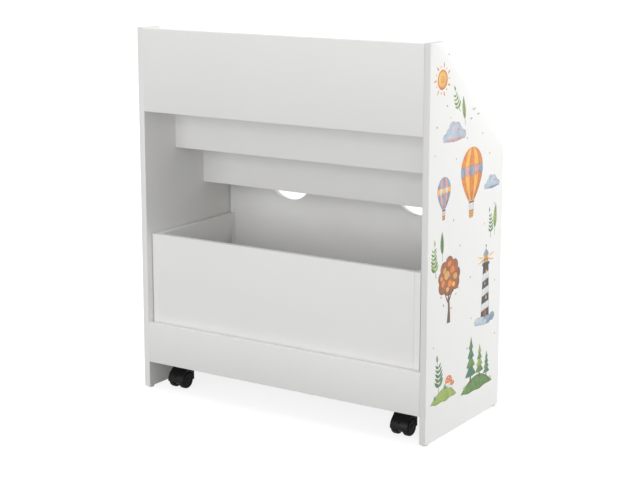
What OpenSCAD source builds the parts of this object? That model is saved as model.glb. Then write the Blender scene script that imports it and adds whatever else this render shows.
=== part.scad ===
// Kids bookcase: three stepped book tiers over a toy crate that rolls out of the front.
// The front, where the books show and the crate comes out, faces -Y. The back is open.
// The origin is on the floor, under the middle of the bookcase.

/* [Overall] */
// Height from the floor to the top of the side panels
total_height = 850; // [790:1:900]
// Width over both side panels
total_width = 758; // [620:1:900]
// Depth from the back edges to the front edges
total_depth = 340; // [325:1:380]
// Thickness of every board
board_t = 15; // [14:0.5:18]

/* [Side panels] */
// Length of the level top edge
top_flat = 61; // [45:1:90]
// Height at which the slope meets the front edge
front_edge_height = 597; // [575:1:640]
// Radius of the corner between the slope and the front edge
corner_radius = 35; // [5:1:60]

/* [Book tiers] */
// Height of each back panel
back_panel_height = 189; // [165:1:205]
// Drop from one tier to the next
tier_drop = 97.5; // [85:0.5:102]
// Drop from the top of the side panels to the top back panel
top_step = 2; // [0:0.5:12]
// Clear depth of the top tier
top_tier_depth = 99; // [85:1:105]
// Clear depth of the middle tier
middle_tier_depth = 91; // [80:1:95]

/* [Kick board] */
// Height of the kick board
kick_height = 95; // [70:1:120]
// Gap under the kick board
kick_underside = 65; // [62:1:90]

/* [Crate] */
// Height of the crate's open top above the floor
crate_top = 371; // [300:1:400]
// Average gap between the crate and each side panel
crate_side_gap = 6.5; // [5:0.5:15]
// How far the crate stands off the middle at rest
crate_offset = 4.5; // [-4.5:0.5:4.5]
// Gap between the crate and the kick board
crate_rear_gap = 2.5; // [1:0.5:20]
// Gap between the crate's front panel and the lowest tier
front_panel_gap = 3; // [1:0.5:20]
// Gap between the crate's front panel and the floor
front_panel_underside = 35; // [15:1:55]

/* [Hand cut-outs] */
// Radius of each half-moon cut-out
cutout_radius = 64; // [50:1:80]
// Depth of the cut-outs below the top edge
cutout_depth = 41; // [25:1:45]
// Distance between the middles of the cut-outs
cutout_spacing = 356; // [200:1:420]

/* [Floor glides] */
// Diameter of a glide
glide_d = 15; // [10:0.5:15]
// Height of a glide
glide_h = 4; // [3:0.5:8]
// Distance from a panel's end to the middle of its glide
glide_inset = 13; // [10:1:40]
// Diameter of a glide's nail
nail_d = 1.6; // [1.2:0.1:2.5]
// Depth of the nail in the panel
nail_grip = 14; // [8:1:25]

/* [Castors] */
// Height of a castor from the floor to the top of its plate
castor_height = 60; // [58:1:61]
// Diameter of a wheel
wheel_d = 40; // [34:1:42]
// Width of one wheel
wheel_w = 16; // [12:0.5:17]
// Width of the web between the two wheels
web_w = 12; // [8:0.5:14]
// Distance from the swivel pin to the axle
castor_trail = 13; // [8:1:14]
// Diameter of the axle
axle_d = 5; // [4:0.5:6]
// Diameter of the swivel pin
swivel_pin_d = 8; // [6:0.5:9]
// Side of the square top plate
plate_size = 42; // [40:1:48]
// Thickness of the top plate
plate_t = 2; // [1.5:0.5:3]
// Distance between the plate's screws
screw_spacing = 31; // [30:1:34]
// Diameter of the plate's screws
screw_d = 3.5; // [3:0.5:4]
// Length of a screw in the board
screw_grip = 12; // [8:1:13]
// Distance from the crate's side to a swivel pin
castor_side_inset = 54; // [46:1:90]
// Distance from the crate's ends to a swivel pin
castor_end_inset = 43; // [43:1:80]

/* [Fittings] */
// Diameter of a dowel
dowel_d = 8; // [6:1:8]
// Length of a dowel
dowel_l = 30; // [24:1:35]
// Diameter of a cam lock
cam_d = 15; // [12:1:15]
// Distance from a joint to the middle of its cam lock
cam_reach = 34; // [24:1:36]
// Diameter of a cam bolt's shank
bolt_d = 6; // [5:0.5:6]
// Depth of a cam bolt in the panel
bolt_grip = 11; // [8:1:11]

/* [Hidden] */
$fn = 64;
board_color = [0.93, 0.93, 0.92];
dowel_color = [0.82, 0.68, 0.47];
metal_color = [0.72, 0.73, 0.75];
dark_color = [0.10, 0.10, 0.11];
glide_color = [0.96, 0.96, 0.96];

// Clearances: round a fitting in its hole, past its end, and a turning fit on the radius.
hole_slack = 0.1;
end_slack = 0.3;
turn_slack = 0.05;
cut = 1;

// The bookcase's own planes.
back_y = total_depth / 2;
front_y = -total_depth / 2;
inner_x = total_width / 2 - board_t;

// Tiers 0, 1 and 2 are the top, the middle and the lowest one.
function tier_z(i) = total_height - top_step - back_panel_height - i * tier_drop;
function panel_rear_y(i) =
    i == 0 ? back_y
    : i == 1 ? back_y - board_t - top_tier_depth
    : i == 2 ? back_y - 2 * board_t - top_tier_depth - middle_tier_depth
    : front_y + board_t;
lip_height = back_panel_height - tier_drop;

// An upright board runs between the side panels. Its values are its rear face, its underside,
// its height and the side that its cams open to.
function back_upright(i) = [panel_rear_y(i), tier_z(i), back_panel_height, -1];
lip_upright = [panel_rear_y(3), tier_z(2), lip_height, 1];
kick_upright = [back_y, kick_underside, kick_height, -1];
all_uprights = [back_upright(0), back_upright(1), back_upright(2), lip_upright, kick_upright];

// A tier floor runs from one upright to the next: rear edge, front edge and underside.
function tier_floor(i) = [panel_rear_y(i) - board_t, panel_rear_y(i + 1), tier_z(i)];
all_floors = [for (i = [0:2]) tier_floor(i)];

// Fittings stand at these distances from a board's ends.
upright_dowel_inset = 16;
upright_cam_height = 44;
floor_dowel_inset = 20;
long_dowel_spacing = 240;
dowel_face_depth = dowel_l / 3;
cam_h = board_t - 2.5;
bolt_head_d = bolt_d + 0.8;
bolt_head_l = 3;
bolt_neck_l = 4;

// A joint is a point on the plane where two boards meet and the direction into the edge-on board.
function upright_ends(u, z) =
    [for (s = [-1, 1]) [[s * inner_x, u[0] - board_t / 2, z], [-s, 0, 0]]];
function upright_dowels(u) = [
    for (z = [u[1] + upright_dowel_inset, u[1] + u[2] - upright_dowel_inset])
        each upright_ends(u, z)
];
function upright_cams(u) = upright_ends(u, u[1] + upright_cam_height);
function floor_ends(f, y) =
    [for (s = [-1, 1]) [[s * inner_x, y, f[2] + board_t / 2], [-s, 0, 0]]];
function floor_end_dowels(f) = [
    for (y = [f[0] - floor_dowel_inset, f[1] + floor_dowel_inset])
        each floor_ends(f, y)
];
function floor_cams(f) = floor_ends(f, (f[0] + f[1]) / 2);
function floor_long_dowels(f) = [
    for (k = [-1:1], edge = [[f[0], -1], [f[1], 1]])
        [[k * long_dowel_spacing, edge[0], f[2] + board_t / 2], [0, edge[1], 0]]
];

// The crate's planes, in the crate's own frame with x = 0 in its middle.
crate_half_w = inner_x - crate_side_gap;
crate_inner_x = crate_half_w - board_t;
crate_rear_y = back_y - board_t - crate_rear_gap;
crate_front_y = front_y + board_t;
crate_side_h = crate_top - castor_height;
front_panel_top = tier_z(2) - front_panel_gap;
front_panel_h = front_panel_top - front_panel_underside;

// Heights of the crate's fittings above its underside, and their places along its bottom.
crate_cam_inset = 45;
back_cam_heights = [crate_cam_inset, crate_side_h - crate_cam_inset];
front_cam_heights = [crate_cam_inset, crate_side_h - 3 * crate_cam_inset];
crate_dowel_height = crate_side_h - 2 * crate_cam_inset;
crate_back_mid_y = crate_rear_y - board_t / 2;
crate_side_mid_x = crate_half_w - board_t / 2;
crate_bottom_mid_z = castor_height + board_t / 2;
crate_bottom_rear_y = crate_rear_y - board_t;
crate_bottom_cam_y = (crate_bottom_rear_y + crate_front_y) / 2;

function crate_back_points(z) =
    [for (s = [-1, 1]) [[s * crate_inner_x, crate_back_mid_y, z], [-s, 0, 0]]];
function crate_front_points(z) =
    [for (s = [-1, 1]) [[s * crate_side_mid_x, crate_front_y, z], [0, 1, 0]]];
function crate_bottom_points(y) =
    [for (s = [-1, 1]) [[s * crate_inner_x, y, crate_bottom_mid_z], [-s, 0, 0]]];
crate_back_cams = [for (h = back_cam_heights) each crate_back_points(castor_height + h)];
crate_back_dowels = crate_back_points(castor_height + crate_dowel_height);
crate_front_cams = [for (h = front_cam_heights) each crate_front_points(castor_height + h)];
crate_front_dowels = crate_front_points(castor_height + crate_dowel_height);
crate_bottom_cams = crate_bottom_points(crate_bottom_cam_y);
crate_bottom_dowels = [
    for (y = [crate_bottom_rear_y - floor_dowel_inset, crate_front_y + floor_dowel_inset])
        each crate_bottom_points(y)
];
crate_long_dowels = [
    for (k = [-1:1], edge = [[crate_bottom_rear_y, -1], [crate_front_y, 1]])
        [[k * long_dowel_spacing, edge[0], crate_bottom_mid_z], [0, edge[1], 0]]
];

// A glide's rounded edge, and the head of its nail.
glide_edge_r = 1.5;
nail_head_d = 5;
nail_head_t = 0.8;
nail_head_z = 1.2;

// Castors, each in its own frame: the swivel pin is at x = y = 0 and the wheels trail towards +Y.
castor_x = crate_half_w - castor_side_inset;
castor_rear_y = crate_rear_y - castor_end_inset;
castor_front_y = crate_front_y + castor_end_inset;
wheel_r = wheel_d / 2;
wheel_gap = 0.4;
wheel_inner_x = web_w / 2 + wheel_gap;
wheel_edge_r = 3;
wheel_cap_t = 3;
wheel_proud = 1;
axle_half_l = wheel_inner_x + wheel_w - wheel_cap_t - end_slack;
plate_bottom = castor_height - plate_t;
plate_corner_r = 5;
housing_top = plate_bottom - end_slack;
hood_half_w = wheel_inner_x + wheel_w - wheel_proud;
well_r = wheel_r + 0.8;
hood_wall = 1.6;
hood_r = well_r + hood_wall;
hood_top = wheel_d + 9;
hood_skirt_z = wheel_r - 3;
collar_r = 11;
pin_head_d = swivel_pin_d + 2;
pin_head_t = 2;
pin_head_z = hood_top - 8;
pin_pocket_r = pin_head_d / 2 + hole_slack;
heel_dimple_d = 4.5;
heel_dimple_depth = 3;
heel_dimple_lift = 11;
heel_dimple_y = castor_trail + sqrt(hood_r * hood_r - heel_dimple_lift * heel_dimple_lift);
screw_head_d = 2 * screw_d;
screw_head_h = 1.8;

// Turns +Z to one of the six axis directions.
module aim(direction) {
    rotate([
        direction[2] < 0 ? 180 : -90 * direction[1],
        90 * direction[0],
        0
    ]) children();
}

// A block from its lowest corner to its highest one.
module block(low, high) {
    translate(low) cube(high - low);
}

// A cylinder along the x axis, centred on the origin.
module rod_x(r, l) {
    rotate([0, 90, 0]) cylinder(r = r, h = l, center = true);
}

// Fittings and the holes they sit in. A joint's direction runs into the edge-on board.
module dowels(joints) {
    for (j = joints)
        translate(j[0] - dowel_face_depth * j[1])
            aim(j[1]) cylinder(d = dowel_d, h = dowel_l);
}

module dowel_holes(joints) {
    for (j = joints)
        translate(j[0] - (dowel_face_depth + end_slack) * j[1])
            aim(j[1]) cylinder(d = dowel_d + 2 * hole_slack, h = dowel_l + 2 * end_slack);
}

module cam_bolts(joints) {
    for (j = joints)
        translate(j[0] - bolt_grip * j[1])
            aim(j[1]) union() {
                cylinder(d = bolt_d, h = bolt_grip + cam_reach - bolt_neck_l);
                cylinder(d = bolt_d - 2, h = bolt_grip + cam_reach);
                translate([0, 0, bolt_grip + cam_reach - bolt_head_l / 2])
                    cylinder(d = bolt_head_d, h = bolt_head_l);
            }
}

// The threaded end of a bolt in the face of one board, and its long hole in the edge of the other.
module bolt_seats(joints) {
    for (j = joints)
        translate(j[0] - (bolt_grip + end_slack) * j[1])
            aim(j[1]) cylinder(d = bolt_d + 2 * hole_slack, h = bolt_grip + end_slack + cut);
}

module bolt_holes(joints) {
    for (j = joints)
        translate(j[0] - cut * j[1])
            aim(j[1]) cylinder(d = bolt_head_d + 2 * hole_slack, h = cut + cam_reach);
}

// A cam lock drops into its pocket from the face that the direction "open" points to.
module cam_lock(joint, open) {
    inset = board_t / 2 - cam_h;
    slot_w = bolt_head_d + 1;
    translate(joint[0] + cam_reach * joint[1] + inset * open)
        difference() {
            aim(open) cylinder(d = cam_d, h = cam_h - end_slack);
            translate(-inset * open)
                aim(-joint[1]) translate([0, 0, -slot_w / 2]) cylinder(d = slot_w, h = cam_d);
            translate((cam_h - end_slack - cut) * open)
                aim(open) {
                    translate([-cam_d / 3, -cut / 2, 0]) cube([cam_d * 2 / 3, cut, 2 * cut]);
                    translate([-cut / 2, -cam_d / 3, 0]) cube([cut, cam_d * 2 / 3, 2 * cut]);
                }
        }
}

module cam_pocket(joint, open) {
    translate(joint[0] + cam_reach * joint[1] + (board_t / 2 - cam_h) * open)
        translate(-end_slack * open)
            aim(open) cylinder(d = cam_d + 2 * hole_slack, h = cam_h + end_slack + cut);
}

module cam_locks(joints, open) {
    for (j = joints) cam_lock(j, open);
}

module cam_pockets(joints, open) {
    for (j = joints) cam_pocket(j, open);
}

// The outline of a side panel in the Y-Z plane. A true arc joins the slope to the front edge.
slope_angle = atan2(total_height - front_edge_height, total_depth - top_flat);
corner_turn = 90 - slope_angle;
corner_reach = corner_radius * tan(corner_turn / 2);
corner_center = [front_y + corner_radius, front_edge_height - corner_reach];
corner_start = [
    front_y + corner_reach * cos(slope_angle),
    front_edge_height + corner_reach * sin(slope_angle)
];

module side_outline() {
    polygon([
        [back_y, glide_h],
        [back_y, total_height],
        [back_y - top_flat, total_height],
        corner_start,
        corner_center,
        [front_y, corner_center[1]],
        [front_y, glide_h]
    ]);
    translate(corner_center) circle(r = corner_radius);
}

// The side panel at -X or +X, with the holes that its boards and glides need.
module side_panel(side) {
    color(board_color) difference() {
        translate([side < 0 ? -total_width / 2 : inner_x, 0, 0])
            rotate([90, 0, 90]) linear_extrude(board_t) side_outline();
        for (u = all_uprights) {
            dowel_holes([for (j = upright_dowels(u)) if (j[0][0] * side > 0) j]);
            bolt_seats([for (j = upright_cams(u)) if (j[0][0] * side > 0) j]);
        }
        for (f = all_floors) {
            dowel_holes([for (j = floor_end_dowels(f)) if (j[0][0] * side > 0) j]);
            bolt_seats([for (j = floor_cams(f)) if (j[0][0] * side > 0) j]);
        }
        for (end = [-1, 1])
            translate([side * (inner_x + board_t / 2), end * (back_y - glide_inset), 0])
                nail_hole();
    }
}

module left_side_panel() {
    side_panel(-1);
}

module right_side_panel() {
    side_panel(1);
}

// A board that stands on edge between the side panels.
module upright_board(u, floor_dowels = []) {
    joints = upright_cams(u);
    open = [0, u[3], 0];
    color(board_color) difference() {
        block([-inner_x, u[0] - board_t, u[1]], [inner_x, u[0], u[1] + u[2]]);
        dowel_holes(concat(upright_dowels(u), floor_dowels));
        bolt_holes(joints);
        cam_pockets(joints, open);
    }
}

module top_back_panel() {
    upright_board(back_upright(0), floor_long_dowels(tier_floor(0)));
}

module middle_back_panel() {
    upright_board(
        back_upright(1),
        concat(floor_long_dowels(tier_floor(0)), floor_long_dowels(tier_floor(1)))
    );
}

module lower_back_panel() {
    upright_board(
        back_upright(2),
        concat(floor_long_dowels(tier_floor(1)), floor_long_dowels(tier_floor(2)))
    );
}

module front_lip() {
    upright_board(lip_upright, floor_long_dowels(tier_floor(2)));
}

module rear_kick_board() {
    upright_board(kick_upright);
}

// A tier floor, which the books stand on. Its cams open downwards.
module floor_board(f) {
    color(board_color) difference() {
        block([-inner_x, f[1], f[2]], [inner_x, f[0], f[2] + board_t]);
        dowel_holes(concat(floor_end_dowels(f), floor_long_dowels(f)));
        bolt_holes(floor_cams(f));
        cam_pockets(floor_cams(f), [0, 0, -1]);
    }
}

module top_tier_floor() {
    floor_board(tier_floor(0));
}

module middle_tier_floor() {
    floor_board(tier_floor(1));
}

module lower_tier_floor() {
    floor_board(tier_floor(2));
}

// Button glides under the side panels, each held by one nail.
module at_glides() {
    for (side = [-1, 1], end = [-1, 1])
        translate([side * (inner_x + board_t / 2), end * (back_y - glide_inset), 0])
            children();
}

module nail_hole() {
    cylinder(d = nail_d + 2 * hole_slack, h = glide_h + nail_grip + end_slack);
}

module floor_glides() {
    color(glide_color) at_glides() difference() {
        rotate_extrude() {
            square([glide_d / 2 - glide_edge_r, glide_h]);
            translate([0, glide_edge_r]) square([glide_d / 2, glide_h - glide_edge_r]);
            intersection() {
                translate([glide_d / 2 - glide_edge_r, glide_edge_r]) circle(r = glide_edge_r);
                square([glide_d / 2, glide_h]);
            }
        }
        translate([0, 0, nail_head_z])
            cylinder(d = nail_head_d + 2 * hole_slack, h = nail_head_t + end_slack);
        translate([0, 0, nail_head_z])
            cylinder(d = nail_d + 2 * hole_slack, h = glide_h);
    }
}

module glide_nails() {
    color(metal_color) at_glides() translate([0, 0, nail_head_z + end_slack / 2]) union() {
        cylinder(d = nail_head_d, h = nail_head_t);
        cylinder(d = nail_d, h = glide_h - nail_head_z + nail_grip - end_slack);
    }
}

module frame_dowels() {
    color(dowel_color) {
        for (u = all_uprights) dowels(upright_dowels(u));
        for (f = all_floors) dowels(concat(floor_end_dowels(f), floor_long_dowels(f)));
    }
}

module frame_cam_bolts() {
    color(metal_color) {
        for (u = all_uprights) cam_bolts(upright_cams(u));
        for (f = all_floors) cam_bolts(floor_cams(f));
    }
}

module frame_cam_locks() {
    color(metal_color) {
        for (u = all_uprights) cam_locks(upright_cams(u), [0, u[3], 0]);
        for (f = all_floors) cam_locks(floor_cams(f), [0, 0, -1]);
    }
}

// Everything on the crate is drawn about the crate's own middle.
module on_crate() {
    translate([crate_offset, 0, 0]) children();
}

// The tall front panel fills the bay's front and covers the ends of the crate's sides.
module crate_front_panel() {
    color(board_color) on_crate() difference() {
        translate([0, crate_front_y, 0]) rotate([90, 0, 0]) linear_extrude(board_t)
            difference() {
                translate([-crate_half_w, front_panel_underside])
                    square([2 * crate_half_w, front_panel_h]);
                for (side = [-1, 1])
                    translate([
                        side * cutout_spacing / 2,
                        front_panel_top - cutout_depth + cutout_radius
                    ]) circle(r = cutout_radius, $fn = 128);
            }
        dowel_holes(concat(crate_front_dowels, crate_long_dowels));
        bolt_seats(crate_front_cams);
    }
}

module crate_back_panel() {
    color(board_color) on_crate() difference() {
        block(
            [-crate_inner_x, crate_rear_y - board_t, castor_height],
            [crate_inner_x, crate_rear_y, crate_top]
        );
        dowel_holes(concat(crate_back_dowels, crate_long_dowels));
        bolt_holes(crate_back_cams);
        cam_pockets(crate_back_cams, [0, -1, 0]);
    }
}

module crate_side(side) {
    front_cams = [for (j = crate_front_cams) if (j[0][0] * side > 0) j];
    color(board_color) on_crate() difference() {
        block(
            [side < 0 ? -crate_half_w : crate_inner_x, crate_front_y, castor_height],
            [side < 0 ? -crate_inner_x : crate_half_w, crate_rear_y, crate_top]
        );
        dowel_holes(concat(crate_back_dowels, crate_front_dowels, crate_bottom_dowels));
        bolt_seats(concat(crate_back_cams, crate_bottom_cams));
        bolt_holes(front_cams);
        cam_pockets(front_cams, [-side, 0, 0]);
    }
}

module crate_left_side() {
    crate_side(-1);
}

module crate_right_side() {
    crate_side(1);
}

module crate_bottom() {
    color(board_color) on_crate() difference() {
        block(
            [-crate_inner_x, crate_front_y, castor_height],
            [crate_inner_x, crate_bottom_rear_y, castor_height + board_t]
        );
        dowel_holes(concat(crate_bottom_dowels, crate_long_dowels));
        bolt_holes(crate_bottom_cams);
        cam_pockets(crate_bottom_cams, [0, 0, -1]);
        at_castors() at_plate_screws() translate([0, 0, castor_height - cut])
            cylinder(d = screw_d + 2 * hole_slack, h = cut + screw_grip + end_slack);
    }
}

module crate_dowels() {
    color(dowel_color) on_crate()
        dowels(concat(crate_back_dowels, crate_front_dowels, crate_bottom_dowels, crate_long_dowels));
}

module crate_cam_bolts() {
    color(metal_color) on_crate()
        cam_bolts(concat(crate_back_cams, crate_front_cams, crate_bottom_cams));
}

module crate_cam_locks() {
    color(metal_color) on_crate() {
        cam_locks(crate_back_cams, [0, -1, 0]);
        cam_locks(crate_bottom_cams, [0, 0, -1]);
        for (j = crate_front_cams) cam_lock(j, [j[0][0] < 0 ? 1 : -1, 0, 0]);
    }
}

// Castor places on the crate, and the four screws of a plate.
module at_castor(side, y) {
    translate([side * castor_x, y, 0]) children();
}

module at_castors() {
    for (side = [-1, 1], y = [castor_rear_y, castor_front_y]) at_castor(side, y) children();
}

module at_plate_screws() {
    for (x = [-1, 1], y = [-1, 1])
        translate([x * screw_spacing / 2, y * screw_spacing / 2, 0]) children();
}

module rounded_square(size, r) {
    square([size, size - 2 * r], center = true);
    square([size - 2 * r, size], center = true);
    for (x = [-1, 1], y = [-1, 1])
        translate([x * (size / 2 - r), y * (size / 2 - r)]) circle(r = r);
}

// A stamped plate with its swivel pin, whose head holds the housing up.
module castor_plate() {
    translate([0, 0, plate_bottom]) linear_extrude(plate_t) difference() {
        rounded_square(plate_size, plate_corner_r);
        at_plate_screws() circle(d = screw_d + 2 * hole_slack);
    }
    translate([0, 0, pin_head_z]) {
        cylinder(d = swivel_pin_d, h = plate_bottom - pin_head_z);
        cylinder(d = pin_head_d, h = pin_head_t);
    }
}

module castor_plates() {
    color(metal_color) on_crate() at_castors() castor_plate();
}

module castor_screws() {
    color(metal_color) on_crate() at_castors() at_plate_screws() {
        translate([0, 0, plate_bottom - screw_head_h])
            cylinder(d = screw_head_d, h = screw_head_h);
        translate([0, 0, plate_bottom - screw_head_h])
            cylinder(d = screw_d, h = screw_head_h + plate_t + screw_grip);
    }
}

// The side view of the hood: it runs close round the wheels behind and stands upright in front.
module hood_outline() {
    nose_y = -pin_pocket_r - 3 * hood_wall;
    nose_r = 4;
    shoulder_r = 11;
    intersection() {
        hull() {
            translate([castor_trail, wheel_r]) circle(r = hood_r, $fn = 72);
            translate([castor_trail - 2, hood_top - shoulder_r]) circle(r = shoulder_r, $fn = 48);
            translate([nose_y + nose_r, hood_top - nose_r]) circle(r = nose_r, $fn = 32);
            translate([nose_y, hood_skirt_z]) square([nose_r, hood_wall]);
        }
        translate([nose_y, hood_skirt_z]) square([3 * wheel_d, hood_top]);
    }
}

// The web between the wheels, seen from the side: it carries the axle and ends in a round heel.
module web_outline() {
    web_r = wheel_r - 8;
    web_front_y = pin_pocket_r + hood_wall;
    heel_y = castor_trail + wheel_r - 2 - web_r;
    translate([heel_y, wheel_r]) circle(r = web_r);
    translate([web_front_y, wheel_r - web_r]) square([heel_y - web_front_y, 2 * web_r]);
}

module castor_housing() {
    difference() {
        union() {
            difference() {
                rotate([90, 0, 90]) linear_extrude(2 * hood_half_w, center = true) hood_outline();
                for (side = [-1, 1])
                    translate([side * (web_w / 2 + wheel_d), castor_trail, wheel_r])
                        rod_x(well_r, 2 * wheel_d);
            }
            rotate([90, 0, 90]) linear_extrude(web_w, center = true) web_outline();
            translate([0, 0, hood_top - cut])
                cylinder(r = collar_r, h = housing_top - hood_top + cut);
        }
        cylinder(d = swivel_pin_d + 2 * turn_slack, h = castor_height);
        cylinder(r = pin_pocket_r, h = pin_head_z + pin_head_t + end_slack);
        translate([0, castor_trail, wheel_r]) rod_x(axle_d / 2 + turn_slack, 2 * web_w);
        translate([0, heel_dimple_y - heel_dimple_depth, wheel_r + heel_dimple_lift])
            aim([0, 1, 0]) cylinder(d = heel_dimple_d, h = wheel_d);
    }
}

module castor_axle() {
    translate([0, castor_trail, wheel_r]) rod_x(axle_d / 2, 2 * axle_half_l);
}

// A wheel, turned about its own axis. It has a rounded tread, a ring groove and a closed cap
// on the outside, and a blind bore on the inside.
module castor_wheel(side) {
    groove_r = wheel_r * 0.6;
    groove_w = 1.6;
    core_r = wheel_r - wheel_edge_r;
    translate([side * wheel_inner_x, castor_trail, wheel_r]) rotate([0, side * 90, 0])
        rotate_extrude() difference() {
            union() {
                square([core_r, wheel_w]);
                translate([0, wheel_edge_r]) square([wheel_r, wheel_w - 2 * wheel_edge_r]);
                for (z = [wheel_edge_r, wheel_w - wheel_edge_r])
                    translate([core_r, z]) circle(r = wheel_edge_r);
            }
            translate([-wheel_d, -cut]) square([wheel_d, wheel_w + 2 * cut]);
            translate([0, -cut])
                square([axle_d / 2 + turn_slack, cut + wheel_w - wheel_cap_t]);
            translate([groove_r, wheel_w - cut]) square([groove_w, 2 * cut]);
        }
}

module castor_place(side, y) {
    on_crate() at_castor(side, y) children();
}

// "Outer" is the wheel nearer to the crate's side.
module housing_at(side, y) {
    color(dark_color) castor_place(side, y) castor_housing();
}

module axle_at(side, y) {
    color(metal_color) castor_place(side, y) castor_axle();
}

module outer_wheel_at(side, y) {
    color(dark_color) castor_place(side, y) castor_wheel(side);
}

module inner_wheel_at(side, y) {
    color(dark_color) castor_place(side, y) castor_wheel(-side);
}

left_side_panel();
right_side_panel();
top_back_panel();
middle_back_panel();
lower_back_panel();
front_lip();
top_tier_floor();
middle_tier_floor();
lower_tier_floor();
rear_kick_board();
floor_glides();
glide_nails();
frame_dowels();
frame_cam_bolts();
frame_cam_locks();
crate_front_panel();
crate_back_panel();
crate_left_side();
crate_right_side();
crate_bottom();
crate_dowels();
crate_cam_bolts();
crate_cam_locks();
castor_plates();
castor_screws();
housing_at(-1, castor_rear_y);  // rear_left_housing
axle_at(-1, castor_rear_y);  // rear_left_axle
outer_wheel_at(-1, castor_rear_y);  // rear_left_outer_wheel
inner_wheel_at(-1, castor_rear_y);  // rear_left_inner_wheel
housing_at(1, castor_rear_y);  // rear_right_housing
axle_at(1, castor_rear_y);  // rear_right_axle
outer_wheel_at(1, castor_rear_y);  // rear_right_outer_wheel
inner_wheel_at(1, castor_rear_y);  // rear_right_inner_wheel
housing_at(-1, castor_front_y);  // front_left_housing
axle_at(-1, castor_front_y);  // front_left_axle
outer_wheel_at(-1, castor_front_y);  // front_left_outer_wheel
inner_wheel_at(-1, castor_front_y);  // front_left_inner_wheel
housing_at(1, castor_front_y);  // front_right_housing
axle_at(1, castor_front_y);  // front_right_axle
outer_wheel_at(1, castor_front_y);  // front_right_outer_wheel
inner_wheel_at(1, castor_front_y);  // front_right_inner_wheel
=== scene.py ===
"""Kids bookcase: white melamine boards, a roll-out toy crate on black castors and one printed side panel."""

from math import acos, asin, copysign, cos, degrees, pi, radians, sin, sqrt

import bmesh
import bpy
from mathutils import Matrix, Vector, geometry


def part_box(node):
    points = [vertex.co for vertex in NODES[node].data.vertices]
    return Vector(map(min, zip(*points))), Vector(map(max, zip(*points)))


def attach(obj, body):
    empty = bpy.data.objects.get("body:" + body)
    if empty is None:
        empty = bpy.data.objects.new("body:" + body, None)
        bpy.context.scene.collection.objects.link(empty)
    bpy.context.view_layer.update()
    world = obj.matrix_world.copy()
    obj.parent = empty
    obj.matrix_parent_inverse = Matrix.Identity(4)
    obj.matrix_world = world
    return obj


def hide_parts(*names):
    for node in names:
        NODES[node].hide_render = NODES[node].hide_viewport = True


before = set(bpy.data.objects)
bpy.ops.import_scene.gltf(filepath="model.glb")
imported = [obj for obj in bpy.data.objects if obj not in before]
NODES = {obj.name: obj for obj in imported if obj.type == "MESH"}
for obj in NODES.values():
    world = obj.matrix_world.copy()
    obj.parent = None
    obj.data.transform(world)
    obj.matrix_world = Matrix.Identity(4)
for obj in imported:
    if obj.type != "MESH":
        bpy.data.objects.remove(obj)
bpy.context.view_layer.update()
MM = 0.001
TINY = 0.01 * MM
X_WAY, Y_WAY, Z_WAY = Vector((1, 0, 0)), Vector((0, 1, 0)), Vector((0, 0, 1))


# Shader helpers


def new_tree(owner, output_kind):
    """An empty node tree for a material or a world, and its output node."""
    owner.use_nodes = True
    tree = owner.node_tree
    tree.nodes.clear()
    return tree, tree.nodes.new(output_kind)


def new_material(name):
    material = bpy.data.materials.new(name)
    tree, output = new_tree(material, "ShaderNodeOutputMaterial")
    shader = tree.nodes.new("ShaderNodeBsdfPrincipled")
    tree.links.new(shader.outputs["BSDF"], output.inputs["Surface"])
    return material, tree, shader


def put(tree, socket, value):
    """Links a value that comes from another node, or sets a plain one."""
    if isinstance(value, bpy.types.NodeSocket):
        tree.links.new(value, socket)
    else:
        socket.default_value = value


def feed(tree, node, **values):
    """Fills a node's inputs, whose names have underscores here for spaces, and its other settings."""
    for key, value in values.items():
        label = key.replace("_", " ")
        if label in node.inputs:
            put(tree, node.inputs[label], value)
        else:
            setattr(node, key, value)
    return node


def add_node(tree, kind, **values):
    return feed(tree, tree.nodes.new(kind), **values)


def make_group(name, inputs, outputs):
    tree = bpy.data.node_groups.new(name, "ShaderNodeTree")
    for label, value in inputs.items():
        socket = tree.interface.new_socket(label, in_out="INPUT", socket_type="NodeSocketFloat")
        socket.default_value = value
    for label in outputs:
        tree.interface.new_socket(label, in_out="OUTPUT", socket_type="NodeSocketFloat")
    return tree, tree.nodes.new("NodeGroupInput").outputs, tree.nodes.new("NodeGroupOutput")


def maths(tree, operation, *terms):
    node = add_node(tree, "ShaderNodeMath", operation=operation)
    for socket, value in zip(node.inputs, terms):
        put(tree, socket, value)
    return node.outputs[0]


def mix_colours(tree, factor, first, second):
    """The mix node's inputs 0, 6 and 7 and its output 2 are its factor, its two colours and its result."""
    node = add_node(tree, "ShaderNodeMix", data_type="RGBA")
    for index, value in ((0, factor), (6, first), (7, second)):
        put(tree, node.inputs[index], (*value, 1.0) if isinstance(value, tuple) else value)
    return node.outputs[2]


def map_span(tree, value, start, end, **settings):
    """A value carried from one span of numbers to another."""
    node = add_node(tree, "ShaderNodeMapRange", Value=value, **settings)
    feed(tree, node, From_Min=start[0], From_Max=start[1], To_Min=end[0], To_Max=end[1])
    return node.outputs["Result"]


NOISE_SPAN = (0.25, 0.75)


def spread(tree, value, low, high):
    """Noise, which mostly keeps to its span, spread over another."""
    return map_span(tree, value, NOISE_SPAN, (low, high))


def object_place(tree):
    return tree.nodes.new("ShaderNodeTexCoord").outputs["Object"]


def noise(tree, place, size, detail, rough, **settings):
    """Noise whose lumps are about as wide as the size."""
    node = add_node(tree, "ShaderNodeTexNoise", Vector=place, Detail=detail, Roughness=rough, **settings)
    put(tree, node.inputs["Scale"], maths(tree, "DIVIDE", 1.0, size))
    return node.outputs["Fac"]


# Foil skin: what pressed melamine foil and plastic skins share, a faint pebble, cloudiness and wipe marks.


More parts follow.
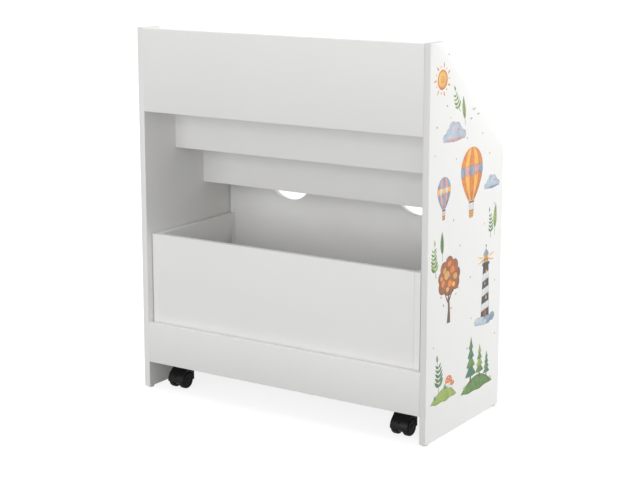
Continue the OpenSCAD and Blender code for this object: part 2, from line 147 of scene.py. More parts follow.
def build_foil_group():
    sizes = {"Pebble Size": 1.4 * MM, "Cloud Size": 0.22, "Wipe Size": 0.03}
    tree, given, result = make_group("foil_skin", sizes, ("Pebble", "Cloud", "Wipe"))
    place = object_place(tree)
    stretched = add_node(tree, "ShaderNodeMapping", Vector=place, Scale=(0.25, 1.0, 2.2)).outputs["Vector"]
    feed(
        tree, result,
        Pebble=noise(tree, place, given["Pebble Size"], 2.0, 0.5),
        Cloud=noise(tree, place, given["Cloud Size"], 3.0, 0.55),
        Wipe=noise(tree, stretched, given["Wipe Size"], 4.0, 0.6),
    )
    return tree


FOIL = build_foil_group()
PEBBLE_DEPTH = 0.05 * MM


def place_foil(tree, pebble_size):
    return add_node(tree, "ShaderNodeGroup", node_tree=FOIL, Pebble_Size=pebble_size).outputs


def skin_material(name, colour, tint, rough, pebble_size, bump, specular=0.5):
    material, tree, shader = new_material(name)
    foil = place_foil(tree, pebble_size)
    relief = add_node(tree, "ShaderNodeBump", Strength=bump, Distance=PEBBLE_DEPTH, Height=foil["Pebble"])
    feed(
        tree, shader,
        Base_Color=mix_colours(tree, spread(tree, foil["Cloud"], 0.0, 1.0), colour, tint),
        Roughness=spread(tree, foil["Wipe"], *rough),
        Normal=relief.outputs["Normal"],
        Specular_IOR_Level=specular,
    )
    return material


def raw_wood(name, kind, output, light, deep, rough, **settings):
    """Bare wood, whose texture mixes its light and its deep colour."""
    material, tree, shader = new_material(name)
    grain = add_node(tree, kind, Vector=object_place(tree), **settings).outputs[output]
    feed(tree, shader, Base_Color=mix_colours(tree, grain, light, deep), Roughness=rough)
    return material


def metal_material(name, colour, dull, grain_size):
    material, tree, shader = new_material(name)
    foil = place_foil(tree, grain_size)
    worn = mix_colours(tree, spread(tree, foil["Wipe"], 0.0, 1.0), colour, dull)
    feed(tree, shader, Base_Color=worn, Roughness=spread(tree, foil["Pebble"], 0.28, 0.5), Metallic=1.0)
    return material


WHITE_FOIL = skin_material(
    "white_foil", (0.845, 0.842, 0.826), (0.825, 0.822, 0.806), (0.42, 0.54), 1.4 * MM, 0.25
)
WHITE_BAND = skin_material(
    "white_band", (0.86, 0.857, 0.842), (0.84, 0.837, 0.822), (0.34, 0.44), 0.9 * MM, 0.12
)
# Painted shade: a darker copy of the white band, for the printed panel's edges.
SHADED_SIDE_BAND = skin_material(
    "shaded_side_band", (0.765, 0.762, 0.75), (0.745, 0.742, 0.73), (0.34, 0.44), 0.9 * MM, 0.12
)
GLIDE_WHITE = skin_material(
    "glide_white", (0.78, 0.78, 0.765), (0.74, 0.74, 0.72), (0.28, 0.4), 0.8 * MM, 0.2
)
CASTOR_BLACK = skin_material(
    "castor_black", (0.008, 0.008, 0.009), (0.013, 0.013, 0.014), (0.3, 0.44), 0.7 * MM, 0.5, 0.16
)
TREAD_BLACK = skin_material(
    "tread_black", (0.007, 0.007, 0.007), (0.012, 0.012, 0.012), (0.42, 0.62), 0.5 * MM, 0.7, 0.11
)
CHIPBOARD = raw_wood(
    "chipboard", "ShaderNodeTexVoronoi", "Distance", (0.55, 0.40, 0.25), (0.30, 0.20, 0.11), 0.9, Scale=420.0
)
BEECH = raw_wood(
    "beech", "ShaderNodeTexNoise", "Fac", (0.66, 0.47, 0.29), (0.50, 0.33, 0.18), 0.7, Scale=600.0, Detail=3.0
)
PLATED_STEEL = metal_material("plated_steel", (0.62, 0.63, 0.65), (0.5, 0.51, 0.53), 1.2 * MM)
BRIGHT_STEEL = metal_material("bright_steel", (0.68, 0.68, 0.69), (0.58, 0.58, 0.6), 0.5 * MM)
CAST_ZINC = metal_material("cast_zinc", (0.46, 0.46, 0.48), (0.36, 0.36, 0.38), 0.9 * MM)

# The finish of every CAD solid but the boards, by the end of its name.
FINISHES = {
    "_glides": GLIDE_WHITE,
    "_nails": BRIGHT_STEEL,
    "_dowels": BEECH,
    "_cam_bolts": PLATED_STEEL,
    "_cam_locks": CAST_ZINC,
    "_plates": PLATED_STEEL,
    "_screws": PLATED_STEEL,
    "_axle": BRIGHT_STEEL,
    "_housing": CASTOR_BLACK,
    "_wheel": TREAD_BLACK,
}

for cad_name, cad in NODES.items():
    for ending, finish in FINISHES.items():
        if cad_name.endswith(ending):
            cad.data.materials.clear()
            cad.data.materials.append(finish)


# Meshes


def place_object(name, data):
    thing = bpy.data.objects.new(name, data)
    bpy.context.scene.collection.objects.link(thing)
    return thing


def link_mesh(name, bm, materials):
    mesh = bpy.data.meshes.new(name)
    bm.to_mesh(mesh)
    bm.free()
    for material in materials:
        mesh.materials.append(material)
    return place_object(name, mesh)


def apply_modifiers(piece):
    bpy.context.view_layer.update()
    evaluated = piece.evaluated_get(bpy.context.evaluated_depsgraph_get())
    mesh = bpy.data.meshes.new_from_object(evaluated)
    piece.modifiers.clear()
    old = piece.data
    piece.data = mesh
    bpy.data.meshes.remove(old)


def combine(piece, bm, operation, materials):
    """Cuts a mesh out of a piece, or joins it on."""
    other = link_mesh("tool", bm, materials)
    step = piece.modifiers.new("step", "BOOLEAN")
    step.object = other
    step.operation = operation
    step.solver = "EXACT"
    apply_modifiers(piece)
    bpy.data.objects.remove(other)


def round_edges(bm, edges, radius, steps, **settings):
    """Rounds some edges and returns the new faces."""
    rounding = {"offset": radius, "segments": steps, "profile": 0.5, "affect": "EDGES"}
    return bmesh.ops.bevel(bm, geom=edges, **rounding, **settings)["faces"]


def bridge(bm, first, second):
    """The faces between two rings of points. A ring of one point is a tip."""
    faces = []
    for k in range(max(len(first), len(second))):
        places = ((first, k), (first, k + 1), (second, k + 1), (second, k))
        corners = dict.fromkeys(ring[place % len(ring)] for ring, place in places)
        faces.append(bm.faces.new(list(corners)))
    return faces


def rod(axis, radius, low, high, segments=64):
    """A closed cylinder along one axis between two places."""
    bm = bmesh.new()
    length = (high - low).length
    bmesh.ops.create_cone(bm, cap_ends=True, segments=segments, radius1=radius, radius2=radius, depth=length)
    turn = Z_WAY.rotation_difference(axis).to_matrix().to_4x4()
    bmesh.ops.transform(bm, matrix=Matrix.Translation((low + high) / 2) @ turn, verts=bm.verts)
    for face in bm.faces:
        face.smooth = len(face.verts) == 4
    return bm


def on_oval(across, up, wide, high, turn):
    """The point of an oval at an angle in radians."""
    return across + wide * cos(turn), up + high * sin(turn)


def arc(centre, wide, high, start, end, steps):
    """Points on part of an oval, from the start to the end angle in degrees."""
    turns = [radians(start + (end - start) * step / steps) for step in range(steps + 1)]
    return [on_oval(*centre, wide, high, turn) for turn in turns]


def full_turn(steps):
    """Even angles once round, in radians."""
    return [2 * pi * k / steps for k in range(steps)]


# Bookcase and crate boards

BOARD_SKINS = [WHITE_FOIL, WHITE_BAND, CHIPBOARD]
FACE_SKIN, BAND_SKIN, CHIP_SKIN = 0, 1, 2
BAND_RADIUS = 0.9 * MM
BAND_STEPS = 3
SHARP_EDGE = radians(38)
STRAIGHT_ON = radians(0.4)
PRINT_RECESS = 0.3 * MM
CAM_RADIUS = 7.6 * MM
POCKET_OVERRUN = 2 * MM
CUTOUT_RADIUS = 64 * MM
CUTOUT_DEPTH = 41 * MM
CUTOUT_SPACING = 356 * MM
CUTOUT_STEPS = 48


def islands(node):
    """The separate solids of a CAD node, each as its lowest and highest corner."""
    bm = bmesh.new()
    bm.from_mesh(NODES[node].data)
    bmesh.ops.remove_doubles(bm, verts=bm.verts, dist=TINY)
    seen = set()
    boxes = []
    for start in bm.verts:
        if start in seen:
            continue
        group, stack = [], [start]
        seen.add(start)
        while stack:
            vert = stack.pop()
            group.append(vert.co.copy())
            for edge in vert.link_edges:
                other = edge.other_vert(vert)
                if other not in seen:
                    seen.add(other)
                    stack.append(other)
        boxes.append(tuple(Vector(pick(p[i] for p in group) for i in range(3)) for pick in (min, max)))
    bm.free()
    return boxes


CAM_LOCKS = islands("frame_cam_locks") + islands("crate_cam_locks")


def cut_cam_pockets(piece, low, high, across):
    """Cuts a round pocket for each cam lock that lies in this board, whose thin axis is "across"."""
    for lock_low, lock_high in CAM_LOCKS:
        centre = (lock_low + lock_high) / 2
        if not all(low[i] < centre[i] < high[i] for i in range(3)):
            continue
        opens = 1 if centre[across] > (low[across] + high[across]) / 2 else -1
        axis = Vector(opens if i == across else 0 for i in range(3))
        floor, mouth = centre.copy(), centre.copy()
        floor[across] = lock_low[across] if opens > 0 else lock_high[across]
        mouth[across] = (high if opens > 0 else low)[across] + opens * POCKET_OVERRUN
        pocket = rod(axis, CAM_RADIUS, floor, mouth)
        for face in pocket.faces:
            face.material_index = CHIP_SKIN
        combine(piece, pocket, "DIFFERENCE", BOARD_SKINS)


def board_mesh(name, outline, across, low, high, square=(), band=WHITE_BAND):
    """A board of the given outline, with banded and rounded edges but for the edges listed as square."""
    plane = [i for i in range(3) if i != across]

    def corner(point, level):
        place = Vector((0, 0, 0))
        place[plane[0]], place[plane[1]], place[across] = point[0], point[1], level
        return place

    bm = bmesh.new()
    near = [bm.verts.new(corner(p, low)) for p in outline]
    far = [bm.verts.new(corner(p, high)) for p in outline]
    bm.faces.new(near)
    bm.faces.new(list(reversed(far)))
    count = len(outline)
    banded = []
    for i in range(count):
        j = (i + 1) % count
        face = bm.faces.new((near[i], far[i], far[j], near[j]))
        face.smooth = True
        face.material_index = FACE_SKIN if i in square else BAND_SKIN
        if i not in square:
            banded += [bm.edges.get((near[i], near[j])), bm.edges.get((far[i], far[j]))]
    bmesh.ops.recalc_face_normals(bm, faces=bm.faces)
    for face in round_edges(bm, banded, BAND_RADIUS, BAND_STEPS, material=BAND_SKIN):
        face.smooth = True
    piece = link_mesh(name, bm, [WHITE_FOIL, band, CHIPBOARD])
    piece.data.set_sharp_from_angle(angle=SHARP_EDGE)
    return piece


def finish_board(piece, node, body):
    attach(piece, body)
    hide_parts(node)


def box_outline(low, high, across):
    a, b = [i for i in range(3) if i != across]
    return [(low[a], low[b]), (high[a], low[b]), (high[a], high[b]), (low[a], high[b])]


def side_outline(node):
    """The Y-Z outline of a side panel, which is convex."""
    points = [Vector(p) for p in {(round(v.co.y, 6), round(v.co.z, 6)) for v in NODES[node].data.vertices}]
    points.sort(key=lambda p: (p.x, p.y))
    ring = [points[i] for i in geometry.convex_hull_2d(points)]
    kept = []
    for i, point in enumerate(ring):
        before, after = ring[i - 1], ring[(i + 1) % len(ring)]
        if (point - before).angle(after - point) > STRAIGHT_ON:
            kept.append((point.x, point.y))
    return kept


def cutout_outline(low, high):
    """The crate's front panel seen along Y: a rectangle with two half-moon cut-outs in its top edge."""
    middle = (low.x + high.x) / 2
    centre_z = high.z - CUTOUT_DEPTH + CUTOUT_RADIUS
    reach = degrees(acos((CUTOUT_RADIUS - CUTOUT_DEPTH) / CUTOUT_RADIUS))
    outline = [(low.x, low.z), (high.x, low.z), (high.x, high.z)]
    for side in (1, -1):
        centre = (middle + side * CUTOUT_SPACING / 2, centre_z)
        outline += arc(centre, CUTOUT_RADIUS, CUTOUT_RADIUS, reach - 90, -reach - 90, CUTOUT_STEPS)
    outline.append((low.x, high.z))
    return outline


def make_side_panel(node, body):
    low, high = map(Vector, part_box(node))
    printed = node == "left_side_panel"
    if printed:
        low.x += PRINT_RECESS
    # The printed panel's edges take the darker band, which paints shade on them.
    band = SHADED_SIDE_BAND if printed else WHITE_BAND
    piece = board_mesh("board_" + node, side_outline(node), 0, low.x, high.x, band=band)
    finish_board(piece, node, body)


def make_plain_board(node, body, across, square=()):
    low, high = map(Vector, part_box(node))
    outline = box_outline(low, high, across)
    piece = board_mesh("board_" + node, outline, across, low[across], high[across], square)
    cut_cam_pockets(piece, low, high, across)
    finish_board(piece, node, body)


def make_cutout_board(node, body):
    low, high = map(Vector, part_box(node))
    piece = board_mesh("board_" + node, cutout_outline(low, high), 1, low.y, high.y)
    finish_board(piece, node, body)


# The ends of a board that butts against two others stay square: edges 1 and 3 of its outline.
ENDS_IN_X = (1, 3)
ALL_ROUND = (0, 1, 2, 3)

for panel in ("left_side_panel", "right_side_panel"):
    make_side_panel(panel, "bookcase")
for board in ("top_back_panel", "middle_back_panel", "lower_back_panel", "front_lip", "rear_kick_board"):
    make_plain_board(board, "bookcase", 1, ENDS_IN_X)
for board in ("top_tier_floor", "middle_tier_floor", "lower_tier_floor"):
    make_plain_board(board, "bookcase", 2, ALL_ROUND)
make_plain_board("crate_back_panel", "crate", 1, ENDS_IN_X)
for board in ("crate_left_side", "crate_right_side"):
    make_plain_board(board, "crate", 0, (3,))
make_plain_board("crate_bottom", "crate", 2, ALL_ROUND)
make_cutout_board("crate_front_panel", "crate")


# Castors: one hood and one wheel are drawn about the swivel axis and copied to each place.

CASTOR_NAMES = ("rear_left", "rear_right", "front_left", "front_right")
WHEEL_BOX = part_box("rear_left_outer_wheel")
HOUSING_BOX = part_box("rear_left_housing")
AXLE_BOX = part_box("rear_left_axle")
AXLE_Z = (AXLE_BOX[0][2] + AXLE_BOX[1][2]) / 2
AXLE_RADIUS = (AXLE_BOX[1][2] - AXLE_BOX[0][2]) / 2
BORE_RADIUS = AXLE_RADIUS + 0.05 * MM
WHEEL_RADIUS = (WHEEL_BOX[1][2] - WHEEL_BOX[0][2]) / 2
WHEEL_WIDTH = WHEEL_BOX[1][0] - WHEEL_BOX[0][0]
WHEEL_STEPS = 96
WHEEL_SHARP = radians(40)
HOOD_HALF = (HOUSING_BOX[1][0] - HOUSING_BOX[0][0]) / 2
HOUSING_TOP = HOUSING_BOX[1][2]
TRAIL = 13 * MM
HOOD_TOP = 49 * MM
HOOD_SKIRT = 17 * MM
HOOD_RADIUS = 22.4 * MM
HOOD_ROUNDING = 0.9 * MM
HOOD_SHARP = radians(32)
HEEL_STEPS, SHOULDER_STEPS, NOSE_STEPS = 40, 20, 12
WELL_RADIUS = 20.8 * MM
WEB_HALF = 6 * MM
WEB_RADIUS = 12 * MM
WEB_FRONT = 6.7 * MM
WEB_ROUNDING = 0.7 * MM
WEB_SINK = 0.02 * MM
WEB_MARGIN = 2 * MM
WEB_STEPS = 32
PIN_RADIUS = 4.05 * MM
PIN_POCKET_RADIUS = 5.1 * MM
PIN_POCKET_TOP = 43.3 * MM
COLLAR_RADIUS = 11 * MM
COLLAR_SINK = 2 * MM
NOSE_RADIUS = 4 * MM
SHOULDER_RADIUS = 11 * MM
SHOULDER_BACK = 2 * MM
DIMPLE_RADIUS = 2.1 * MM
DIMPLE_DEPTH = 3 * MM
DIMPLE_LIFT = 11 * MM
# Places well outside the housing, where a cut ends: to its sides, above it and behind it.
PAST_SIDE, PAST_TOP, PAST_HEEL = 30 * MM, 70 * MM, 60 * MM


def castor_centre(name):
    """The swivel axis of a castor, a known way in front of its axle, at floor level."""
    low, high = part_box(name + "_axle")
    return Vector(((low[0] + high[0]) / 2, (low[1] + high[1]) / 2 - TRAIL, 0.0))


def hood_profile():
    nose_y = HOUSING_BOX[0][1] - castor_centre("rear_left").y
    drop = degrees(asin((AXLE_Z - HOOD_SKIRT) / HOOD_RADIUS))
    heel = arc((TRAIL, AXLE_Z), HOOD_RADIUS, HOOD_RADIUS, -drop, 90, HEEL_STEPS)
    points = [(nose_y, HOOD_SKIRT), heel[0]] + heel[3:]
    shoulder = (TRAIL - SHOULDER_BACK, HOOD_TOP - SHOULDER_RADIUS)
    points += arc(shoulder, SHOULDER_RADIUS, SHOULDER_RADIUS, 0, 90, SHOULDER_STEPS)
    nose = (nose_y + NOSE_RADIUS, HOOD_TOP - NOSE_RADIUS)
    points += arc(nose, NOSE_RADIUS, NOSE_RADIUS, 90, 180, NOSE_STEPS)
    flat = [Vector(p) for p in points]
    return [tuple(flat[i]) for i in geometry.convex_hull_2d(flat)]


def web_profile():
    heel_y = TRAIL + WHEEL_RADIUS - WEB_MARGIN - WEB_RADIUS
    points = arc((heel_y, AXLE_Z), WEB_RADIUS, WEB_RADIUS, -90, 90, WEB_STEPS)
    return [(WEB_FRONT, AXLE_Z - WEB_RADIUS)] + points + [(WEB_FRONT, AXLE_Z + WEB_RADIUS)]


def prism_across(profile, half, rounding, steps):
    """A Y-Z profile made solid across X, with its side edges rounded."""
    bm = bmesh.new()
    rings = [[bm.verts.new((side * half, y, z)) for y, z in profile] for side in (-1, 1)]
    for ring in rings:
        bm.faces.new(ring)
    count = len(profile)
    for i in range(count):
        j = (i + 1) % count
        bm.faces.new((rings[0][i], rings[1][i], rings[1][j], rings[0][j]))
    bmesh.ops.recalc_face_normals(bm, faces=bm.faces)
    rims = [e for e in bm.edges if abs(e.verts[0].co.x - e.verts[1].co.x) < TINY]
    round_edges(bm, rims, rounding, steps)
    for face in bm.faces:
        face.smooth = True
    return bm


def on_axle(x):
    return Vector((x, TRAIL, AXLE_Z))


def on_pin(z):
    return Vector((0, 0, z))


def make_hood():
    skin = [CASTOR_BLACK]
    hood = link_mesh("hood", prism_across(hood_profile(), HOOD_HALF, HOOD_ROUNDING, 4), skin)
    for side in (-1, 1):
        well = rod(X_WAY, WELL_RADIUS, on_axle(side * WEB_HALF), on_axle(side * PAST_SIDE), WHEEL_STEPS)
        combine(hood, well, "DIFFERENCE", skin)
    web = prism_across(web_profile(), WEB_HALF - WEB_SINK, WEB_ROUNDING, 2)
    combine(hood, web, "UNION", skin)
    collar = rod(Z_WAY, COLLAR_RADIUS, on_pin(HOOD_TOP - COLLAR_SINK), on_pin(HOUSING_TOP))
    combine(hood, collar, "UNION", skin)
    level = AXLE_Z + DIMPLE_LIFT
    heel = TRAIL + sqrt(HOOD_RADIUS**2 - DIMPLE_LIFT**2)
    bores = (
        (Z_WAY, PIN_RADIUS, on_pin(0), on_pin(PAST_TOP), 64),
        (Z_WAY, PIN_POCKET_RADIUS, on_pin(0), on_pin(PIN_POCKET_TOP), 64),
        (Y_WAY, DIMPLE_RADIUS, Vector((0, heel - DIMPLE_DEPTH, level)), Vector((0, PAST_HEEL, level)), 32),
        (X_WAY, BORE_RADIUS, on_axle(-PAST_SIDE), on_axle(PAST_SIDE), 48),
    )
    for bore in bores:
        combine(hood, rod(*bore), "DIFFERENCE", skin)
    hood.data.set_sharp_from_angle(angle=HOOD_SHARP)
    return hood


def lathe(profile, steps):
    """Turns (radius, along) points about X. A point on the axis stays a single point."""
    bm = bmesh.new()
    rings = []
    for radius, along in profile:
        turns = full_turn(steps if radius > TINY else 1)
        rings.append([bm.verts.new((along, *on_oval(0, 0, radius, radius, turn))) for turn in turns])
    for first, second in zip(rings, rings[1:]):
        bridge(bm, first, second)
    bmesh.ops.recalc_face_normals(bm, faces=bm.faces)
    for face in bm.faces:
        face.smooth = True
    return bm


# The wheel's profile: the recess in its inner face as radius and depth in millimetres, the wall outside
# its axle's bore and the bore's chamfer, the depth and width of its two shoulders, and the cap on its outer
# face as radius and distance below that face in millimetres.
WHEEL_RECESS = ((5, 0), (5.6, 4.5), (15.2, 4.5), (15.8, 0.5), (16.3, 0))
WHEEL_WALL = 3 * MM
BORE_LEAD = 0.4 * MM
INNER_SHOULDER = (3.5 * MM, 4.5 * MM)
OUTER_SHOULDER = (4.4 * MM, 6 * MM)
ROUND_STEPS = 12
WHEEL_CAP = (
    (15.2, 0), (14.8, 0.3), (14.6, 1.3), (13.6, 1.4), (13.2, 0.9), (7.4, 0.7),
    (7.0, 1.5), (6.2, 1.5), (5.9, 0.6), (5.2, 0.15), (3.0, 0), (0, 0),
)


def wheel_profile():
    """From the bottom of the axle bore, round the tread, to the middle of the outer cap."""
    bottom = WHEEL_WIDTH - WHEEL_WALL
    points = [(0, bottom), (BORE_RADIUS, bottom), (BORE_RADIUS, BORE_LEAD), (BORE_RADIUS + BORE_LEAD, 0)]
    points += [(radius * MM, depth * MM) for radius, depth in WHEEL_RECESS]
    down, along = INNER_SHOULDER
    points += arc((WHEEL_RADIUS - down, along), down, along, -90, 0, ROUND_STEPS)
    down, along = OUTER_SHOULDER
    points += arc((WHEEL_RADIUS - down, WHEEL_WIDTH - along), down, along, 0, 90, ROUND_STEPS)
    points += [(radius * MM, WHEEL_WIDTH - depth * MM) for radius, depth in WHEEL_CAP]
    return points


def make_castors():
    hood = make_hood()
    wheel = link_mesh("wheel", lathe(wheel_profile(), WHEEL_STEPS), [TREAD_BLACK])
    wheel.data.set_sharp_from_angle(angle=WHEEL_SHARP)
    for name in CASTOR_NAMES:
        centre = castor_centre(name)
        housing = place_object("castor_hood_" + name, hood.data.copy())
        housing.data.transform(Matrix.Translation(centre))
        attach(housing, name + "_castor")
        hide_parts(name + "_housing")
        for place in ("outer", "inner"):
            node = f"{name}_{place}_wheel"
            low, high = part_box(node)
            side = 1 if (low[0] + high[0]) / 2 > centre.x else -1
            turned = place_object(f"castor_wheel_{name}_{place}", wheel.data.copy())
            start = Vector((low[0] if side > 0 else high[0], centre.y + TRAIL, AXLE_Z))
            turned.data.transform(Matrix.Translation(start) @ Matrix.Diagonal((side, 1, 1, 1)))
            if side < 0:
                turned.data.flip_normals()
            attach(turned, f"{name}_wheel_{place}")
            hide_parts(node)
    bpy.data.objects.remove(hood)
    bpy.data.objects.remove(wheel)


make_castors()


# Printed side: a painted film of balloons, clouds, a lighthouse and trees, in thin layers on the left panel.

FILM_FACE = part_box("left_side_panel")[0][0] + PRINT_RECESS
FILM_STEP = 0.035 * MM
STACK_STEP = 0.0012 * MM
FILM_SINK = 0.1 * MM
BLOOM_SIZE = 0.018
EDGE_SHARE = 0.9
PAPER_WHITE = (0.84, 0.84, 0.82)
SHADED_WAY = Vector((0.62, -0.78))

# In the print's own millimetres: how wide a colour pools inside its edge, and how near two points are one.
POOL_WIDTH = 4.4
SAME_POINT = 0.05
FAR_AWAY = 1000.0
# Shares: of the pool that the dark line takes, of a clear way and of a corner's side that an inset takes,
# and of the way back to the edge that a folded point takes in each pass.
LINE_SHARE = 0.3
CLEAR_SHARE = 0.4
CORNER_SHARE = 0.8
FOLD_SHARE = 0.4
FOLD_PASSES = 12
# How squarely the way inwards faces its side: the least that counts, and what makes a corner.
LEAST_FACING, CORNER_FACING = 0.5, 0.85
# The strength of the edge line and of the shaded side's wash: at the edge, beside the line and within.
EDGE_TONE, BESIDE_TONE, WITHIN_TONE = (0.7, 0.3), (0.1, 0.5), (0.0, 0.3)


def build_wash_group():
    sizes = {"Bloom Size": BLOOM_SIZE, "Grain Size": 1.1 * MM}
    tree, given, result = make_group("paint_wash", sizes, ("Bloom", "Pool", "Grain"))
    place = object_place(tree)
    bloom = noise(tree, place, given["Bloom Size"], 3.0, 0.55, Distortion=0.6)
    rim = add_node(tree, "ShaderNodeAttribute", attribute_name="pooling").outputs["Fac"]
    crisp = maths(tree, "POWER", rim, 1.3)
    pool = maths(tree, "MULTIPLY", crisp, maths(tree, "ADD", bloom, 0.5))
    feed(tree, result, Bloom=bloom, Pool=pool, Grain=noise(tree, place, given["Grain Size"], 4.0, 0.7))
    return tree


WASH = build_wash_group()


def paint_colour(name, light, deep, edge, bloom_size=BLOOM_SIZE):
    material, tree, shader = new_material("paint_" + name)
    wash = add_node(tree, "ShaderNodeGroup", node_tree=WASH, Bloom_Size=bloom_size).outputs
    tone = mix_colours(tree, spread(tree, wash["Bloom"], 0.0, 1.0), light, deep)
    tone = mix_colours(tree, maths(tree, "MULTIPLY", wash["Pool"], EDGE_SHARE), tone, edge)
    tone = mix_colours(tree, spread(tree, wash["Grain"], 0.0, 0.05), tone, PAPER_WHITE)
    feed(tree, shader, Base_Color=tone, Roughness=0.5)
    return material


SUNNY = paint_colour("sunny", (0.94, 0.60, 0.10), (0.88, 0.38, 0.04), (0.48, 0.13, 0.01))
ORANGE = paint_colour("orange", (0.84, 0.30, 0.05), (0.64, 0.15, 0.02), (0.27, 0.05, 0.01))
OCHRE = paint_colour("ochre", (0.82, 0.50, 0.17), (0.58, 0.27, 0.06), (0.24, 0.09, 0.02))
RUST = paint_colour("rust", (0.44, 0.14, 0.035), (0.22, 0.055, 0.015), (0.08, 0.02, 0.01))
BARK = paint_colour("bark", (0.17, 0.08, 0.035), (0.08, 0.035, 0.015), (0.025, 0.012, 0.008), 0.008)
SLATE = paint_colour("slate", (0.36, 0.46, 0.56), (0.15, 0.22, 0.32), (0.045, 0.075, 0.14))
MIST = paint_colour("mist", (0.62, 0.69, 0.75), (0.38, 0.47, 0.57), (0.10, 0.15, 0.24))
ROSE = paint_colour("rose", (0.80, 0.46, 0.44), (0.62, 0.26, 0.26), (0.30, 0.08, 0.09))
INK = paint_colour("ink", (0.045, 0.043, 0.045), (0.014, 0.014, 0.016), (0.006, 0.006, 0.008), 0.010)
CHALK = paint_colour("chalk", (0.82, 0.82, 0.80), (0.66, 0.67, 0.68), (0.10, 0.105, 0.12), 0.014)
MEADOW = paint_colour("meadow", (0.44, 0.54, 0.13), (0.20, 0.32, 0.055), (0.055, 0.10, 0.02))
LEAF = paint_colour("leaf", (0.16, 0.31, 0.075), (0.055, 0.15, 0.03), (0.014, 0.045, 0.012), 0.010)
PINE = paint_colour("pine", (0.08, 0.25, 0.14), (0.022, 0.11, 0.065), (0.007, 0.032, 0.022), 0.012)


def apart(a, b):
    return a[0] - b[0], a[1] - b[1]


def cross(a, b):
    return a[0] * b[1] - a[1] * b[0]


def clear_way(outline, here, inward):
    """How far the way inwards runs before it meets the outline again."""
    nearest = FAR_AWAY
    for i, point in enumerate(outline):
        side = apart(outline[i - 1], point)
        across = cross(inward, side)
        if abs(across) < 1e-9:
            continue
        gap = apart(point, here)
        way = cross(gap, side) / across
        share = cross(gap, inward) / across
        if way > 0.01 and -0.001 <= share <= 1.001:
            nearest = min(nearest, way)
    return nearest


def inset_outline(outline, distance):
    """The outline moved inwards by an even distance, less where it is narrow or comes to a tip."""
    count = len(outline)
    area = sum(cross(outline[i - 1], outline[i]) for i in range(count))
    sign = 1 if area > 0 else -1
    moved = []
    for i in range(count):
        here = Vector(outline[i])
        before = here - Vector(outline[i - 1])
        after = Vector(outline[(i + 1) % count]) - here
        back, ahead = before.normalized(), after.normalized()
        inward = (back + ahead).orthogonal() * sign
        if inward.length < 0.01:
            inward = -back
        inward.normalize()
        facing = max(LEAST_FACING, inward.dot(back.orthogonal() * sign))
        reach = min(distance / facing, CLEAR_SHARE * clear_way(outline, here, inward))
        if cross(back, ahead) * sign > 0 and facing < CORNER_FACING:
            reach = min(reach, CORNER_SHARE * min(before.length, after.length))
        moved.append(tuple(here + inward * reach))
    return moved


def crosses(a, b, c, d):
    """Whether the line from a to b crosses the line from c to d."""

    def side(p, q, r):
        return cross(apart(q, p), apart(r, p))

    return side(a, b, c) * side(a, b, d) < 0 and side(c, d, a) * side(c, d, b) < 0


def folded_points(outline, within):
    """The points of an inset outline that lie between two places where it crosses itself."""
    count = len(outline)
    folded = set()
    for i in range(count):
        after_i = (i + 1) % count
        for j in range(i + 1, count):
            after_j = (j + 1) % count
            neighbours = after_i == j or after_j == i
            loops = not neighbours and crosses(within[i], within[after_i], within[j], within[after_j])
            if loops or crosses(outline[i], within[i], outline[j], within[j]):
                short_way = j - i <= count // 2
                run = range(i, j + 2) if short_way else range(j, i + count + 2)
                folded.update(k % count for k in run)
    return folded


def unfold(outline, within):
    """The inset outline with its folded points drawn back towards the edge, until no fold is left."""
    for _ in range(FOLD_PASSES):
        folded = folded_points(outline, within)
        if not folded:
            break
        for k in folded:
            within[k] = tuple(Vector(within[k]).lerp(Vector(outline[k]), FOLD_SHARE))
    return within


def tidy_outline(outline):
    """The outline without points that lie on each other."""
    kept = []
    for point in outline:
        if not kept or (Vector(point) - Vector(kept[-1])).length > SAME_POINT:
            kept.append(point)
    if (Vector(kept[0]) - Vector(kept[-1])).length < SAME_POINT:
        kept.pop()
    return kept


def shape_of(outline):
    """The middle of an outline's box and how far the outline reaches from it."""
    across, up = zip(*outline)
    middle = Vector(((min(across) + max(across)) / 2, (min(up) + max(up)) / 2))
    return middle, max((Vector(p) - middle).length for p in outline)


def wobble(turn, seed):
    """A gentle hand-drawn unevenness, from -1 to 1, that closes round a circle."""
    waves = ((1, 2, 1), (0.7, 3, 2.3), (0.5, 5, 4.1))
    return sum(high * sin(count * turn + start * seed) for high, count, start in waves) / 2.2


def dab(across, up, wide, high, seed=0.0, uneven=0.05, steps=36):
    """A hand-drawn oval."""
    points = []
    for turn in full_turn(steps):
        reach = 1 + uneven * wobble(turn, seed)
        points.append(on_oval(across, up, wide * reach, high * reach, turn))
    return points


def puff(circles, steps=120):
    """The outline round a cluster of overlapping circles, seen from the middle of the first one."""
    middle = Vector(circles[0][:2])
    points = []
    for turn in full_turn(steps):
        ray = Vector((cos(turn), sin(turn)))
        reach = 0.0
        for across, up, radius in circles:
            to = Vector((across, up)) - middle
            along = to.dot(ray)
            aside = to.length_squared - along * along
            if aside < radius * radius:
                reach = max(reach, along + sqrt(radius * radius - aside))
        points.append(tuple(middle + ray * reach))
    return points


def ribbon(line, asides):
    """The outline of a band along a line, which reaches to each side as the vectors say."""
    left = [tuple(here + aside) for here, aside in zip(line, asides)]
    right = [tuple(here - aside) for here, aside in zip(line, asides)]
    return left + right[::-1]


